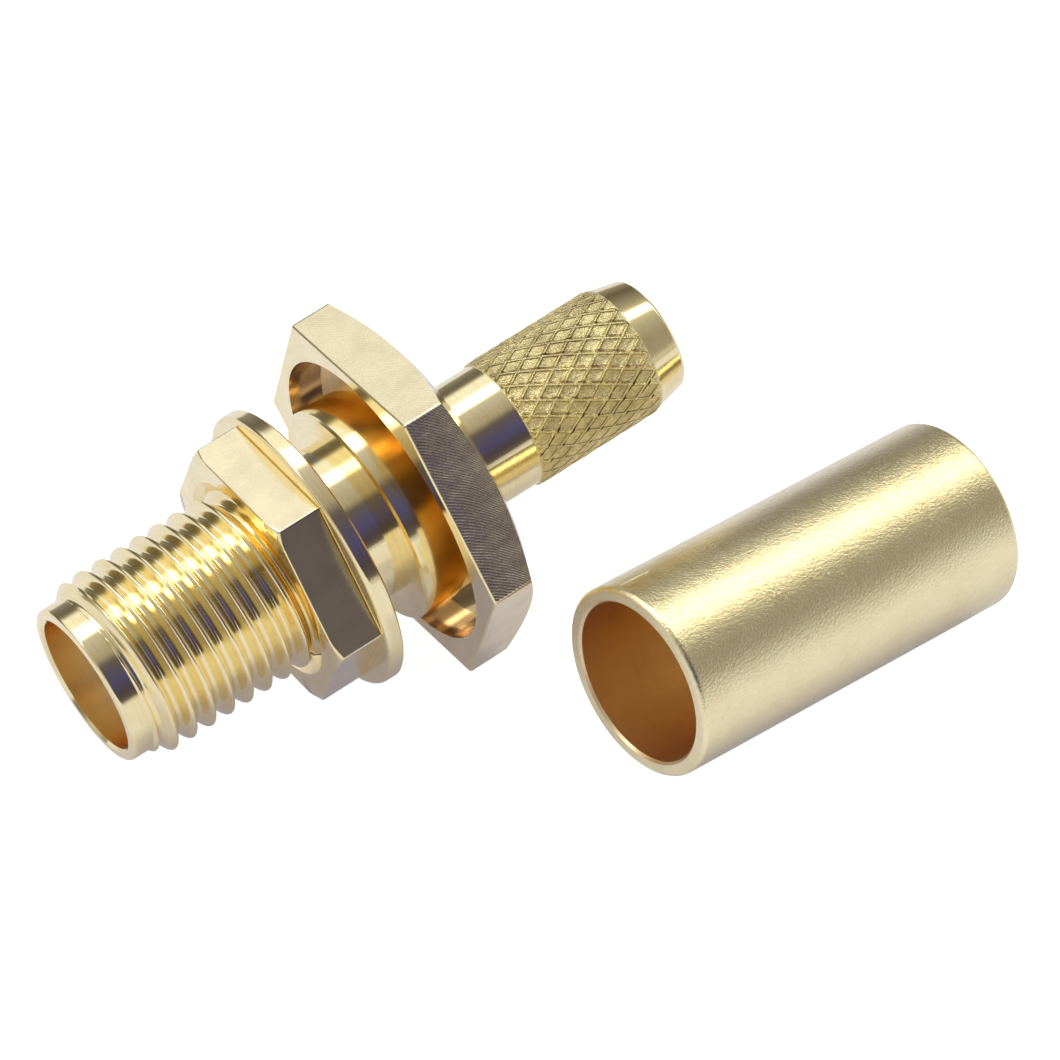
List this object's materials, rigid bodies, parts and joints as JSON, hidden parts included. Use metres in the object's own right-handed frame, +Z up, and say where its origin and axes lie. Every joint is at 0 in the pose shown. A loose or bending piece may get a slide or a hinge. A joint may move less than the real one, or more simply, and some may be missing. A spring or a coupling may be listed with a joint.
{
  "type": "sma connector",
  "caption": "Straight bulkhead crimp jack of the SMA family: threaded barrel, hexagonal flange, panel nut and washer, knurled stem, and its crimp ferrule beside it.",
  "frame": {"origin": "under the middle of the whole part, connector and ferrule together, on the surface it lies on", "axes": "+Z up. The mating end looks towards -X and the cable end towards +X, the connector's axis leaning nose down by its resting tilt. The ferrule lies on the -Y side."},
  "size_m": [0.028, 0.0192, 0.0111],
  "materials": {
    "gold_plate": "polished gold plate over machined brass",
    "ferrule_plate": "satin gold plate over drawn brass",
    "insulator_plastic": "white fluoropolymer, turned",
    "contact_plate": "hard gold plate over spring copper alloy"
  },
  "bodies": {
    "connector": {"body": "gold_plate", "insulator": "insulator_plastic", "centre_contact": "contact_plate", "crimp_ferrule": "ferrule_plate"},
    "loose_washer": {"washer": "gold_plate"},
    "turning_nut": {"panel_nut": "gold_plate"}
  },
  "joints": [
    {"name": "washer_slide", "type": "slide", "parent": "connector", "child": "loose_washer", "axis": [0.9767, 0, 0.2147], "range_m": [-0.00562, 0.00154]},
    {"name": "nut_turn", "type": "hinge", "parent": "loose_washer", "child": "turning_nut", "pos_m": [-0.00628, 0.0033, 0.00452], "axis": [0.9767, 0, 0.2147], "range_deg": [-2870, 790]}
  ],
  "couplings": [
    {"joint": "nut_turn", "follows": "washer_slide", "rad_per_m": 8905.3}
  ]
}
